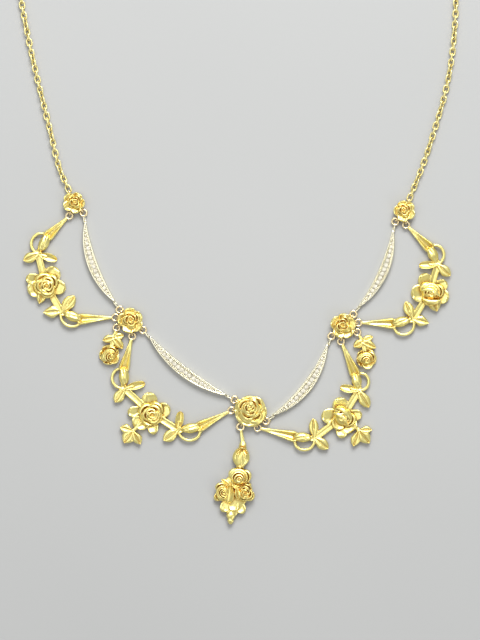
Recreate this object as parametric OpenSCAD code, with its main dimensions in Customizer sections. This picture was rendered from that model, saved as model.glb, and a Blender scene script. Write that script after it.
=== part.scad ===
// Festoon necklace, lying on its back: rose garlands and stone-set bars between five roses.
// The front is drawn from the centre of the centre rose, and then moved so that the origin
// is the middle of the whole outline, on the surface that it lies on.

/* [Roses] */
// Radius of the centre rose
centre_rose_r = 4; // [3.8:0.05:4.1]
// Radius of the two side roses
side_rose_r = 3.15; // [3:0.05:3.2]
// Radius of the two top roses
top_rose_r = 2.75; // [2.6:0.05:2.8]
// Height of the petals of the centre rose
centre_rose_h = 2.2; // [1.6:0.1:2.8]
// Radius of the rose in the middle of a garland
garland_rose_r = 3.2; // [2.8:0.1:3.5]
// Height of that rose
garland_rose_h = 2.5; // [1.8:0.1:3]

/* [Garlands] */
// Width of a sheath at its mouth
sheath_w = 2.6; // [2:0.1:3]
// Height of a sheath at its mouth
sheath_h = 1.7; // [1.2:0.1:2]
// Width of a leaf
leaf_w = 2.3; // [1.8:0.1:2.8]
// Thickness of the curling tendrils
tendril_d = 0.8; // [0.6:0.1:1]
// Thickness of the stems
stem_d = 1.4; // [1:0.1:1.6]

/* [Bars] */
// Thickness of a bar
bar_h = 1.2; // [1:0.1:1.5]
// Rise of a bar's outer arc
outer_rise = 3.25; // [3:0.05:3.5]
// Rise of a bar's inner arc
inner_rise = 0.7; // [0.5:0.05:0.9]
// Width of the rim on each side of the stones
rim_w = 0.4; // [0.3:0.05:0.5]
// Depth of the channel that holds the stones
channel_h = 0.45; // [0.3:0.05:0.6]
// Diameter of a stone
stone_d = 1; // [0.8:0.05:1.05]
// Distance from stone to stone
stone_pitch = 1.2; // [1.15:0.05:1.25]
// Stones in a bar
stones = 10; // [4:2:10]

/* [Rings and chain] */
// Thickness of the chain's wire and of the loops on the roses
wire_d = 0.4; // [0.36:0.02:0.42]
// Thickness of the end rings' wire
eye_wire_d = 0.44; // [0.4:0.02:0.46]
// Largest distance from link to link
link_pitch = 1.36; // [1.3:0.01:1.4]
// Turn of each link beyond the quarter turn, in degrees
link_twist = 13; // [0:1:15]
// Length of the clasp's barrel
clasp_l = 7; // [6:0.5:9]
// Diameter of the clasp's barrel
clasp_d = 2.4; // [2:0.1:3]

/* [Hidden] */

$fn = 48;
gold = "goldenrod";
pale_gold = "khaki";
platinum = "gainsboro";

origin_shift = [3.27, -63.88, 0]; // from the centre rose to the middle of the outline
wire_r = wire_d / 2;
eye_wire_r = eye_wire_d / 2;
ring_z = 2 * wire_d;          // height of every ring's middle
loop_r = 0.6;                 // loops on the roses, which stand upright
loop_inset = 0.05;            // from a rose's edge in to the middle of a loop
eye_r = 0.8;                  // end rings, which lie flat
petal_z = 1.15;               // underside of a rosette's petals, above the rings
petal_turn = 41;              // turn of a rosette's outer petals from its inner ones
rose_seat = 0.13;             // how far a rosette's inner petals stand above the outer ones' underside
base_share = 0.6;             // radius of a rosette's base, as a share of its own
ring_gap = 0.1;
tip_gap = 1.3;                // from an end ring's middle to a bar's tip
bar_neck_l = 1.6;             // length of the neck between a bar and its end ring
bar_neck_tilt = 14;           // turn of that neck from the line between the rings, in degrees
petal_lift = 0.03;            // how much higher each outer petal lies than the one before it
inner_share = 0.84;           // radius of a rosette's inner petals, as a share of its own
petal_w_share = 1.15;         // width of its outer petals, as a share of its radius
petal_h = 1;                  // height of its outer petals
base_rise = 0.3;              // how far its base reaches up into the petals
foot_w = 0.3;                 // width and height of the foot under a loop
foot_h = 0.5;
joint_in = 0.05;              // how far that foot reaches into the loop
neck_l = 0.7;                 // length of the neck on an end ring
neck_start = 0.3;             // from an end ring's wire to the start of what it carries
garland_petal_w = 3.6;        // outer petals of a garland's rose
garland_petal_h = 1.2;
garland_petal_z = 0.3;
garland_rose_z = 0.86;        // underside of the rose in a garland
leaf_z = 0.3;                 // underside and height of the leaves on an arm
leaf_h = 1.1;
drop_rose_r = 2.1;            // rose in a drop
drop_rose_h = 1.9;
drop_rose_z = 0.52;
drop_petal_r = 2.6;           // reach, width and height of its outer petals
drop_petal_h = 1.2;
drop_leaf_w = 2.2;
drop_leaf_z = 0.25;
trefoil_w = 2.6;              // leaves of a trefoil
trefoil_z = 0.2;
trefoil_h = 1.2;

// Rosettes: centre, radius, turn of the petals
CENTRE = [[0, 0], centre_rose_r, 20];
LEFT = [[-29.9, 22.4], side_rose_r, 5];
RIGHT = [[23.2, 21.1], side_rose_r, 50];
TOP_LEFT = [[-44, 51.9], top_rose_r, 30];
TOP_RIGHT = [[38.5, 49.8], top_rose_r, 10];

// Arms of the garlands: rosette, angle of its loop, mouth of the sheath, bulge of the
// tendril, node of the stem, tips of the two leaves
OUTER_LEFT_TOP = [TOP_LEFT, 250, [-50.7, 43.4], [-55.1, 41.9], [-52.9, 39.1], [-56.6, 37.5], [-48.3, 37.6]];
OUTER_LEFT_LOW = [LEFT, 168, [-42.6, 22.8], [-45.1, 20.8], [-47.2, 24.7], [-43.8, 28.4], [-51.5, 24.5]];
INNER_LEFT_TOP = [LEFT, 276, [-31.6, 10.3], [-34.9, 7.9], [-31.4, 5.5], [-26.3, 6.7], [-33.6, 2.2]];
INNER_LEFT_LOW = [CENTRE, 180, [-12.9, -4.2], [-15, -7.9], [-18, -4.8], [-17.4, -0.3], [-21.6, -7.5]];
INNER_RIGHT_TOP = [RIGHT, 262, [26.3, 8.9], [29.9, 7.1], [27, 5], [22.5, 5.7], [29.6, 0.8]];
INNER_RIGHT_LOW = [CENTRE, 293, [11.2, -6.6], [13.1, -10.1], [16, -6.8], [15.7, -2.1], [19.4, -9.5]];
OUTER_RIGHT_TOP = [TOP_RIGHT, 277, [44.9, 40.5], [48.6, 39], [46.7, 36.5], [42.2, 36.2], [49.9, 33.7]];
OUTER_RIGHT_LOW = [RIGHT, 12, [35.8, 21.7], [38.4, 19.1], [40.6, 22.9], [38.7, 27.1], [44.5, 21.9]];

// Rings of petals of a rose: radius and height as shares of its own, depth and turn of the lobes
ROSE_RINGS = [
    [0.4, 0, 0.02, 0],
    [1, 0.45, 0.16, 0],
    [0.72, 0.36, 0.06, 20],
    [0.68, 0.8, 0.14, 36],
    [0.42, 0.62, 0.06, 36],
    [0.38, 1, 0.14, 8],
    [0.14, 0.8, 0.1, 8]
];
petals = 5;

// Section of a sheath, clockwise as seen from its mouth: side and height as shares of its half sizes
SHEATH_SECTION = [
    [-0.7, -1], [-1, -0.2], [-0.85, 0.6], [-0.45, 1], [0, 0.55],
    [0.45, 1], [0.85, 0.6], [1, -0.2], [0.7, -1]
];
// Section of a leaf, with its midrib sunk
LEAF_SECTION = [[-1, 0], [-0.5, 1], [0, 0.35], [0.5, 1], [1, 0], [0, -1]];
// Outline of a leaf: share of its length, share of its half width, share of its height
LEAF_OUTLINE = [[0, 0.4, 0.7], [0.4, 1, 1], [0.75, 0.75, 0.9], [1, 0.12, 0.5]];
PETAL_OUTLINE = [[0, 0.3, 0.6], [0.55, 0.9, 0.8], [0.85, 0.85, 1], [1, 0.45, 0.7]];

// Pendant, from the top down. Collars: top, radius, height
PENDANT_COLLAR = [-1.8, -8.2];
PENDANT_COLLARS = [[PENDANT_COLLAR, 0.8, 0.7], [PENDANT_COLLAR - [0.1, 0.6], 1, 0.7], [[-2.6, -14], 1.1, 0.6]];
pendant_z = 1.1;              // height of the middle of its collars and bud
pendant_tilt = -5;            // turn of its collars
// Sections of its leaf bud and of the body behind its roses: point, then half width, middle and half height
PENDANT_BUD = [
    [[-1.9, -9], [0.8, pendant_z, 0.7]], [[-2.1, -10.2], [1.7, pendant_z, 1]],
    [[-2.3, -12], [2.05, pendant_z, 1.05]], [[-2.5, -13.4], [1.5, pendant_z, 1]],
    [[-2.6, -14.3], [0.8, pendant_z, 0.8]]
];
PENDANT_BODY = [
    [[-2.6, -14.4], [0.9, 1, 0.8]], [[-3, -17], [2, 1, 0.9]], [[-4.2, -20.5], [3.2, 1, 1]],
    [[-4.5, -24], [2.2, 0.9, 0.9]], [[-4.8, -26.5], [1.1, 0.8, 0.8]], [[-5, -28.4], [0.3, 0.6, 0.3]]
];
PENDANT_ROSES = [[[-3, -16.6], 2.6, 0], [[-7.1, -20.2], 2.1, 20], [[-1.3, -20.9], 2.3, 50]]; // centre, radius, turn
pendant_rose_h = 2.2;
// Its leaves: root, tips, width, underside, height
PENDANT_LEAVES = [
    [[-2.1, -10], [[-4.2, -13.2], [-0.5, -13.2], [-2.4, -14]], 2.2, 1.1, 1.4],
    [[-4.4, -20.5], [[-7.9, -24.9], [-1, -25.3], [-4.5, -25.1]], 2.6, 1.12, 1.5],
    [[-3.8, -19.8], [[-7, -17], [-0.2, -18]], 2.4, 0.8, 1.5],
    [[-4.8, -25], [[-6.4, -27], [-3.4, -27.2]], 1.3, 0.4, 0.9]
];

// Hand-chosen points of the two chain runs, from the top roses to the clasp
clasp_at = [-3, 155];
chain_left_angle = 113;       // of the chain's loop on the top left rose
chain_right_angle = 68;
LEFT_ROUTE = [
    [-46, 55], [-47.8, 60.9], [-50, 70], [-51.8, 77.2], [-53.8, 85.5], [-55.6, 93.9], [-57.2, 102.6],
    [-57.8, 111], [-56, 121], [-51.5, 131], [-44, 140.2], [-34, 147.7], [-22, 152.9], [-14, 154.8]
];
RIGHT_ROUTE = [
    [40.3, 53], [42.9, 60.7], [45, 66.8], [46.9, 73], [48.6, 79], [50.1, 86.5], [51, 94.5], [51.3, 102.6],
    [50.4, 111.5], [47.5, 121], [42.5, 131], [35.4, 140.2], [26.3, 147.7], [15.5, 152.9], [8, 154.8]
];
link_end = (link_pitch + wire_d + ring_gap) / 2; // from a link's middle to its wire's far end
link_bend_r = 0.6;
link_straight = 2 * (link_end - link_bend_r);
hook_in = loop_r - wire_d - ring_gap;            // from a loop's middle to the wire hooked in it
clasp_eye = clasp_l / 2 + loop_r;                // from the clasp's middle to its loops

function unit(a) = [cos(a), sin(a)];
function heading(v) = atan2(v[1], v[0]);
function eye_at(rosette, angle) = rosette[0] + (rosette[1] - loop_inset + eye_r) * unit(angle);
function at_z(p, z) = [p[0], p[1], z];

// Catmull-Rom curve through points, with its ends mirrored
function curve(points, steps) =
    let (
        n = len(points),
        p = [2 * points[0] - points[1], each points, 2 * points[n - 1] - points[n - 2]]
    )
    [
        for (i = [1:n - 1]) for (k = [0:steps - 1])
            let (t = k / steps)
            0.5 * (2 * p[i] + (p[i + 1] - p[i - 1]) * t
                + (2 * p[i - 1] - 5 * p[i] + 4 * p[i + 1] - p[i + 2]) * t * t
                + (3 * p[i] - p[i - 1] - 3 * p[i + 1] + p[i + 2]) * t * t * t),
        points[n - 1]
    ];
// Distance along a path to each of its points
function distances(path) =
    [for (i = 0, sum = 0; i < len(path);
        sum = sum + (i + 1 < len(path) ? norm(path[i + 1] - path[i]) : 0), i = i + 1) sum];
// Direction of a path at its point i
function direction(path, i) =
    let (v = path[min(i + 1, len(path) - 1)] - path[max(i - 1, 0)]) v / norm(v);

// Closed skin over rings of points, each clockwise as seen from the next
module loft(rings) {
    n = len(rings[0]);
    last = n * (len(rings) - 1);
    polyhedron(
        points = [for (ring = rings) each ring],
        faces = [
            [for (j = [n - 1:-1:0]) j],
            for (k = [0:n:last - n]) for (j = [0:n - 1]) let (m = (j + 1) % n) each
                [[k + j, k + m, k + n + m], [k + j, k + n + m, k + n + j]],
            [for (j = [0:n - 1]) last + j]
        ]);
}

// Loft of a section along a flat path: sizes holds half width, middle height and half height at each point
module sweep(path, section, sizes) {
    loft([
        for (i = [0:len(path) - 1])
            let (d = direction(path, i), side = [-d[1], d[0]])
            [for (s = section) at_z(path[i] + s[0] * sizes[i][0] * side, sizes[i][1] + s[1] * sizes[i][2])]
    ]);
}

function round_section(sides) = [for (j = [0:sides - 1]) [cos(-360 * j / sides), sin(-360 * j / sides)]];

// Stem along a flat path, with its radius at each point
module stem(path, z, radii, sides = 6) {
    sweep(path, round_section(sides), [for (r = radii) [r, z, r]]);
}

// Ring of round wire, flat on XY
module ring(r, tube_r) {
    rotate_extrude() translate([r, 0]) circle(tube_r);
}

// Straight round bar between two points
module rod(from, to, z, r) {
    translate(at_z(from, z)) rotate(heading(to - from)) rotate([0, 90, 0]) cylinder(h = norm(to - from), r = r);
}

// Leaf or petal from one flat point to another
module leaf(from, to, w, z, h, outline = LEAF_OUTLINE) {
    sweep([for (o = outline) from + o[0] * (to - from)], LEAF_SECTION,
        [for (o = outline) [o[1] * w / 2, z + h / 2, o[2] * h / 2]]);
}

// Rose seen from above, from z = 0 up, with some points along each petal's edge
module rose(r, h, turn = 0, petal_steps = 4) {
    count = petals * petal_steps;
    loft([
        for (ring = ROSE_RINGS) [
            for (j = [0:count - 1])
                let (a = turn - 360 * j / count, lobe = abs(cos(petals / 2 * (a - turn - ring[3]))))
                at_z(r * ring[0] * (1 - ring[2] + ring[2] * lobe) * unit(a), h * ring[1])
        ]
    ]);
}

// Broad outer petals around a rose: for each, its angle and how far it reaches
module outer_petals(reach, w, z, h) {
    for (k = [0:len(reach) - 1]) let (p = reach[k])
        leaf(0.1 * p[1] * unit(p[0]), p[1] * unit(p[0]), w, z + k * petal_lift, h, PETAL_OUTLINE);
}
// Even outer petals, turned from the inner ones
function petal_reach(turn, r) = [for (k = [0:petals - 1]) [turn + petal_turn + 360 / petals * k, r]];

module rosette(rosette, loop_angles) {
    r = rosette[1];
    h = centre_rose_h * (0.4 + 0.6 * r / centre_rose_r);
    translate(rosette[0]) {
        cylinder(h = petal_z + base_rise, r = base_share * r);
        translate([0, 0, petal_z]) {
            translate([0, 0, rose_seat]) rose(inner_share * r, h - rose_seat, rosette[2]);
            outer_petals(petal_reach(rosette[2], r), petal_w_share * r, 0, petal_h);
        }
        for (a = loop_angles) rotate(a) {
            translate([r - loop_inset, 0, ring_z]) rotate([90, 0, 0]) ring(loop_r, wire_r);
            translate([0, -foot_w / 2, ring_z - foot_h / 2])
                cube([r - loop_inset - loop_r + joint_in, foot_w, foot_h]);
        }
    }
}

// End ring in a rosette's loop, and the neck from it towards a point
module end_ring(eye, towards) {
    translate(at_z(eye, ring_z)) ring(eye_r, eye_wire_r);
    along = (towards - eye) / norm(towards - eye);
    rod(eye + eye_r * along, eye + (eye_r + neck_l) * along, ring_z, 1.1 * eye_wire_r);
}

// One arm of a garland, from its ring to the rose
module arm(arm, rose_at) {
    eye = eye_at(arm[0], arm[1]);
    mouth = arm[2];
    bulge = arm[3];
    bud_node = arm[4];
    along = (mouth - eye) / norm(mouth - eye);
    start = eye + (eye_r + neck_start) * along;
    end_ring(eye, mouth);
    // sheath, from its neck to its mouth: half width, middle height and half height
    sweep([for (t = [0, 0.35, 0.88, 1]) start + t * (mouth - start)], SHEATH_SECTION, [
        [0.42, ring_z, 0.36],
        [0.3 * sheath_w, 0.46 * sheath_h, 0.4 * sheath_h],
        [sheath_w / 2, sheath_h / 2, sheath_h / 2],
        [0.4 * sheath_w, sheath_h / 2, 0.35 * sheath_h]
    ]);
    // bud, from inside the mouth towards the node
    sweep([mouth - 0.6 * along, for (t = [0.25, 0.55, 0.8]) mouth + t * (bud_node - mouth)],
        round_section(7), [[0.6, 0.9, 0.5], [1.2, 1, 0.95], [1.1, 1, 0.9], [0.4, 0.85, 0.4]]);
    // stem to the rose, and the tendril round the bud
    stem([mouth, bud_node, rose_at], ring_z, [0.35 * stem_d, 0.55 * stem_d, 0.5 * stem_d]);
    stem(curve([mouth - 0.3 * along, bulge, bud_node], 3), ring_z - 0.1,
        [for (k = [0.8, 1, 1, 1, 1, 1, 0.8]) k * tendril_d / 2], 5);
    for (tip = [arm[5], arm[6]]) leaf(bud_node, tip, leaf_w, leaf_z, leaf_h);
}

module garland(top_arm, low_arm, rose_at, turn, reach) {
    arm(top_arm, rose_at);
    arm(low_arm, rose_at);
    translate(rose_at) {
        outer_petals(reach, garland_petal_w, garland_petal_z, garland_petal_h);
        translate([0, 0, garland_rose_z]) rose(garland_rose_r, garland_rose_h - garland_petal_z, turn);
    }
}

// Three leaves about a point, on a stem from the rose
module trefoil(at, tips, rose_at) {
    for (tip = tips) leaf(at - 0.25 * (tip - at), tip, trefoil_w, trefoil_z, trefoil_h);
    stem([at, rose_at], ring_z - 0.05, [0.5, 0.5]);
}

// Place of a bar: halfway between the end rings in two rosettes' loops, with +X along it.
// Its own bow is added to the rise of both arcs
module between(rosette_a, angle_a, rosette_b, angle_b, bow) {
    a = eye_at(rosette_a, angle_a);
    b = eye_at(rosette_b, angle_b);
    $span = norm(b - a);
    $outer = outer_rise + bow;
    $inner = inner_rise + bow;
    $tilt = bar_neck_tilt + 9 * bow;
    translate(a + (b - a) / 2) rotate(heading(b - a)) children();
}
function arc_r(chord, rise) = (chord * chord / 4 + rise * rise) / (2 * rise);
function arc_y(chord, rise, x) = let (r = arc_r(chord, rise)) r - rise - sqrt(r * r - x * x);

// Flat crescent with its bow towards -Y, drawn in by inset
module crescent(chord, inset = 0) {
    difference() {
        translate([0, arc_r(chord, $outer) - $outer]) circle(arc_r(chord, $outer) - inset, $fn = 240);
        translate([0, arc_r(chord, $inner) - $inner]) circle(arc_r(chord, $inner) + inset, $fn = 240);
    }
}

// Bar with its end rings: side is 1 where it bows to the left of its direction, else -1
module bar(side) {
    chord = $span - 2 * tip_gap;
    mirror([0, side > 0 ? 1 : 0, 0]) difference() {
        linear_extrude(bar_h) crescent(chord);
        translate([0, 0, bar_h - channel_h]) linear_extrude(bar_h) crescent(chord, rim_w);
    }
    for (end = [-1, 1]) translate([end * $span / 2, 0, ring_z]) {
        ring(eye_r, eye_wire_r);
        rotate([0, 0, -side * end * $tilt])
            translate([-end * (eye_r + bar_neck_l / 2), 0, 0]) rotate([0, 90, 0])
                cylinder(h = bar_neck_l, r = eye_wire_r, center = true);
    }
}

// Cut stones in a bar's channel, each with a table and eight crown facets
module stone_row(side) {
    chord = $span - 2 * tip_gap;
    for (i = [0:stones - 1]) {
        x = (i - (stones - 1) / 2) * stone_pitch;
        y = (arc_y(chord, $outer, x) + arc_y(chord, $inner, x)) / 2;
        translate([x, -side * y, bar_h - channel_h + ring_gap])
            loft([for (s = [[0.2, 0], [0.5, 0.22], [0.28, 0.5]])
                [for (j = [0:7]) at_z(stone_d * s[0] * unit(-45 * j), s[1])]]);
    }
}

module drop(eye, at, tips, rose_at, turn) {
    end_ring(eye, at);
    stem([eye + (eye_r + neck_start) * unit(heading(at - eye)), at, rose_at], ring_z, [0.3, 0.5, 0.6]);
    for (tip = tips) leaf(at - 0.2 * (tip - at), tip, drop_leaf_w, drop_leaf_z, leaf_h);
    translate(rose_at) {
        outer_petals(petal_reach(turn, drop_petal_r), drop_petal_r, 0, drop_petal_h);
        translate([0, 0, drop_rose_z]) rose(drop_rose_r, drop_rose_h, turn, 3);
    }
}

module chain(route) {
    path = curve(route, 8);
    s = distances(path);
    total = s[len(s) - 1];
    count = ceil(total / link_pitch);
    xs = [for (i = [0:len(s) - 1]) [s[i], path[i][0]]];
    ys = [for (i = [0:len(s) - 1]) [s[i], path[i][1]]];
    for (i = [0:count]) {
        at = i * total / count;
        before = max(at - link_bend_r, 0);
        after = min(at + link_bend_r, total);
        translate([lookup(at, xs), lookup(at, ys), ring_z])
            rotate(heading([lookup(after, xs) - lookup(before, xs), lookup(after, ys) - lookup(before, ys)]))
                rotate([i * (90 + link_twist), 0, 0]) link();
    }
}

module link() {
    for (end = [-1, 1]) {
        translate([end * link_straight / 2, 0, 0]) rotate(-90 * end)
            rotate_extrude(angle = 180) translate([link_bend_r, 0]) circle(wire_r);
        translate([0, end * link_bend_r, 0]) rotate([0, 90, 0])
            cylinder(h = link_straight, r = wire_r, center = true);
    }
}

module centre_rose() color(gold) rosette(CENTRE, [146, 180, 239, 293, 326]);
module left_rose() color(gold) rosette(LEFT, [135, 168, 206, 276, 323]);
module right_rose() color(gold) rosette(RIGHT, [49, 12, -24, 262, 221]);
module top_left_rose() color(gold) rosette(TOP_LEFT, [chain_left_angle, 250, 313]);
module top_right_rose() color(gold) rosette(TOP_RIGHT, [chain_right_angle, 277, 229]);

module outer_left_garland() color(gold)
    garland(OUTER_LEFT_TOP, OUTER_LEFT_LOW, [-51.1, 31.2], 10,
        [[146, 4.3], [54, 5], [-14, 5], [201, 4.1], [261, 4.1]]);
module inner_left_garland() color(gold) {
    garland(INNER_LEFT_TOP, INNER_LEFT_LOW, [-24.9, -0.7], 40,
        [[94, 4.6], [176, 5.4], [13, 4.6], [-80, 4.7], [222, 4.7]]);
    trefoil([-29.2, -5.5], [[-31.9, -3.8], [-31.1, -7.5], [-27.4, -7.8]], [-24.9, -0.7]);
}
module inner_right_garland() color(gold) {
    garland(INNER_RIGHT_TOP, INNER_RIGHT_LOW, [23.1, -1.7], 25,
        [[111, 4.6], [180, 5], [12, 4.6], [260, 5], [-52, 4.3]]);
    trefoil([27.7, -5.8], [[30.1, -4.5], [29.4, -7.9], [25.6, -8.4]], [23.1, -1.7]);
}
module outer_right_garland() color(gold)
    garland(OUTER_RIGHT_TOP, OUTER_RIGHT_LOW, [45.3, 29.3], 60,
        [[125, 4.1], [37, 4], [191, 4.2], [-23, 4], [-79, 4.2]]);

module upper_left_place() between(TOP_LEFT, 313, LEFT, 135, 0.4) children();
module lower_left_place() between(LEFT, 323, CENTRE, 146, 0.1) children();
module lower_right_place() between(RIGHT, 221, CENTRE, 326, 0.85) children();
module upper_right_place() between(TOP_RIGHT, 229, RIGHT, 49, 0.45) children();
module upper_left_bar() color(platinum) upper_left_place() bar(-1);
module lower_left_bar() color(platinum) lower_left_place() bar(-1);
module lower_right_bar() color(platinum) lower_right_place() bar(1);
module upper_right_bar() color(platinum) upper_right_place() bar(1);
module upper_left_stones() color("white") upper_left_place() stone_row(-1);
module lower_left_stones() color("white") lower_left_place() stone_row(-1);
module lower_right_stones() color("white") lower_right_place() stone_row(1);
module upper_right_stones() color("white") upper_right_place() stone_row(1);

module left_drop() color(gold)
    drop(eye_at(LEFT, 206), [-34.1, 18.2], [[-36.8, 17.5], [-31.7, 18.6], [-31.9, 15.5]], [-35.1, 13.9], 0);
module right_drop() color(gold)
    drop(eye_at(RIGHT, -24), [28, 17.2], [[30.5, 18.4], [25.9, 15.9], [31.3, 15.6]], [29, 13], 22);

module centre_pendant() color(gold) {
    eye = eye_at(CENTRE, 239);
    end_ring(eye, PENDANT_COLLAR);
    stem([eye + (eye_r + neck_start) * unit(heading(PENDANT_COLLAR - eye)), PENDANT_COLLAR], ring_z, [0.32, 0.45]);
    for (c = PENDANT_COLLARS)
        translate(at_z(c[0], pendant_z)) rotate([90, 0, pendant_tilt]) cylinder(h = c[2], r = c[1]);
    for (part = [PENDANT_BUD, PENDANT_BODY])
        sweep([for (s = part) s[0]], round_section(8), [for (s = part) s[1]]);
    for (p = PENDANT_ROSES) translate(at_z(p[0], pendant_z)) rose(p[1], pendant_rose_h, p[2], 3);
    for (p = PENDANT_LEAVES) for (tip = p[1]) leaf(p[0], tip, p[2], p[3], p[4]);
}

left_start = TOP_LEFT[0] + (top_rose_r - loop_inset + hook_in + link_end) * unit(chain_left_angle);
right_start = TOP_RIGHT[0] + (top_rose_r - loop_inset + hook_in + link_end) * unit(chain_right_angle);
left_stop = clasp_at - [clasp_eye + hook_in + link_end, 0];
right_stop = clasp_at + [clasp_eye + hook_in + link_end, 0];
left_links = [left_start, for (i = [1:len(LEFT_ROUTE) - 1]) LEFT_ROUTE[i], left_stop];
right_links = [right_start, for (i = [1:len(RIGHT_ROUTE) - 1]) RIGHT_ROUTE[i], right_stop];

module chain_left() color(pale_gold) chain(left_links);
module chain_right() color(pale_gold) chain(right_links);

// Roll of the last link of a run, which its loop on the clasp stands across
function last_roll(route) =
    let (s = distances(curve(route, 8))) ceil(s[len(s) - 1] / link_pitch) * (90 + link_twist);

module clasp() color(gold) translate(at_z(clasp_at, 0)) {
    translate([0, 0, clasp_d / 2]) rotate([0, 90, 0]) {
        cylinder(h = clasp_l, d = clasp_d - 0.4, center = true);
        cylinder(h = 0.8, d = clasp_d, center = true);
    }
    translate([-clasp_eye, 0, ring_z]) rotate([90 + last_roll(left_links), 0, 0]) ring(loop_r, wire_r);
    translate([clasp_eye, 0, ring_z]) rotate([90 - last_roll(right_links), 0, 0]) ring(loop_r, wire_r);
}

translate(origin_shift) {
    centre_rose();
    left_rose();
    right_rose();
    top_left_rose();
    top_right_rose();
    outer_left_garland();
    inner_left_garland();
    inner_right_garland();
    outer_right_garland();
    upper_left_bar();
    lower_left_bar();
    lower_right_bar();
    upper_right_bar();
    upper_left_stones();
    lower_left_stones();
    lower_right_stones();
    upper_right_stones();
    left_drop();
    right_drop();
    centre_pendant();
    chain_left();
    chain_right();
    clasp();
}
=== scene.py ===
import math
import random
import bmesh
import bpy
from mathutils import Matrix, Vector


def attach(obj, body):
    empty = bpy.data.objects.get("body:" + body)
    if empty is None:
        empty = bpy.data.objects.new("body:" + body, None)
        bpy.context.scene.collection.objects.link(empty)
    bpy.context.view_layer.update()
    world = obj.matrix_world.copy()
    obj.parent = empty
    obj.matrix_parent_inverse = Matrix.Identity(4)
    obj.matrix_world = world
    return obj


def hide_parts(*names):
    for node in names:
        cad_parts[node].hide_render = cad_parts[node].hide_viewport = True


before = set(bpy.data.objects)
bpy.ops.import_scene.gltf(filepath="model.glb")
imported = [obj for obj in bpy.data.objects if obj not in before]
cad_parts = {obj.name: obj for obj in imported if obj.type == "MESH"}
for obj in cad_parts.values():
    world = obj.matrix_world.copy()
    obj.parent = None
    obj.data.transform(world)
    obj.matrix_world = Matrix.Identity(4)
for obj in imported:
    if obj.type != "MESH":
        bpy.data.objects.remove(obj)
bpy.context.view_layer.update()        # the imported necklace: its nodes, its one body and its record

body = "root"

# Everything is drawn in millimetres from the middle of the centre rose, and moved into the frame at the end
layout = {"shift": (3.27, -63.88, 0.0), "metres": 0.001, "ringHeight": 0.8, "petalHeight": 1.15}


# Shader maths

class Value:
    def __init__(self, finish, socket):
        self.finish = finish
        self.socket = socket

    def maths(self, operation, first, second):
        return self.finish.node("ShaderNodeMath", {"operation": operation}, {0: first, 1: second})

    def __add__(self, other):
        return self.maths("ADD", self, other)

    __radd__ = __add__

    def __sub__(self, other):
        return self.maths("SUBTRACT", self, other)

    def __rsub__(self, other):
        return self.maths("SUBTRACT", other, self)

    def __mul__(self, other):
        return self.maths("MULTIPLY", self, other)

    __rmul__ = __mul__

    def __pow__(self, other):
        return self.maths("POWER", self, other)


class Finish:
    def __init__(self, name):
        self.material = bpy.data.materials.new(name)
        self.material.use_nodes = True
        self.tree = self.material.node_tree
        self.tree.nodes.clear()

    def node(self, kind, settings=None, inputs=None, output=0):
        made = self.tree.nodes.new(kind)
        for key, value in (settings or {}).items():
            setattr(made, key, value)
        for key, value in (inputs or {}).items():
            if isinstance(value, Value):
                self.tree.links.new(value.socket, made.inputs[key])
            else:
                made.inputs[key].default_value = value
        return Value(self, made.outputs[output]) if len(made.outputs) else None

    def mix(self, factor, low, high):
        return self.node("ShaderNodeMix", {"data_type": "RGBA"}, {0: factor, 6: low, 7: high}, 2)

    def noise(self, scale, detail=3.0):
        place = self.node("ShaderNodeTexCoord", output=3)
        return self.node("ShaderNodeTexNoise", {}, {"Vector": place, "Scale": scale, "Detail": detail})

    # Ambient occlusion factor, low in recesses: the mask for painted shade
    def paintedShadeMask(self, reach):
        return self.node("ShaderNodeAmbientOcclusion", {"samples": 8}, {"Distance": reach}, 1)

    def bump(self, height, strength, depth):
        return self.node("ShaderNodeBump", {}, {"Strength": strength, "Distance": depth, "Height": height})

    def close(self, inputs):
        shader = self.node("ShaderNodeBsdfPrincipled", {}, inputs)
        self.node("ShaderNodeOutputMaterial", {}, {"Surface": shader})
        return self.material

    def closeMetal(self, look, colour, height, bumpiness, rough, grain):
        return self.close({
            "Base Color": colour, "Metallic": 1.0, "Normal": self.bump(height, bumpiness, look["depth"]),
            "Roughness": rough + grain * look["roughGrain"],
        })


# deep is the colour of painted shade in the recesses; recess and recessPower set its reach and steepness
goldLook = {
    "light": (1.0, 0.92, 0.38, 1), "warm": (0.93, 0.78, 0.24, 1), "deep": (0.54, 0.28, 0.04, 1),
    "blotch": 300.0, "recess": 0.0009, "recessPower": 2.5, "grain": 2400.0, "grainShare": 0.6,
    "pits": 900.0, "pitShare": 0.5, "bump": 0.5, "depth": 0.00014, "rough": 0.26, "roughGrain": 0.18,
}


# Cast gold: matt, blotched at random between warm and light, and painted shade turns it orange-brown in the
# recesses, so it stays pale only where it is raised
def castGold(name):
    look = goldLook
    finish = Finish(name)
    grain = finish.noise(look["grain"])
    skin = finish.mix(finish.noise(look["blotch"], detail=2.0), look["warm"], look["light"])
    # painted shade: the colour darkens toward deep where ambient occlusion finds a recess
    colour = finish.mix(finish.paintedShadeMask(look["recess"]) ** look["recessPower"], look["deep"], skin)
    height = grain * look["grainShare"] + finish.noise(look["pits"], detail=2.0) * look["pitShare"]
    return finish.closeMetal(look, colour, height, look["bump"], look["rough"], grain)


# deep is the colour of painted shade where links and loops crowd each other; recess sets its reach
wireLook = {
    "deep": (0.46, 0.28, 0.07, 1), "recess": 0.0005, "grain": 1500.0, "bump": 0.3, "depth": 0.00004,
    "roughGrain": 0.12,
}


# Drawn wire, for the chain and for the rings and loops, darkened by painted shade where it is occluded
def wireGold(name, light, rough):
    look = wireLook
    finish = Finish(name)
    grain = finish.noise(look["grain"])
    # painted shade toward deep in the occluded parts of the wire
    colour = finish.mix(finish.paintedShadeMask(look["recess"]), look["deep"], light)
    return finish.closeMetal(look, colour, grain, look["bump"], rough, grain)


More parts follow.
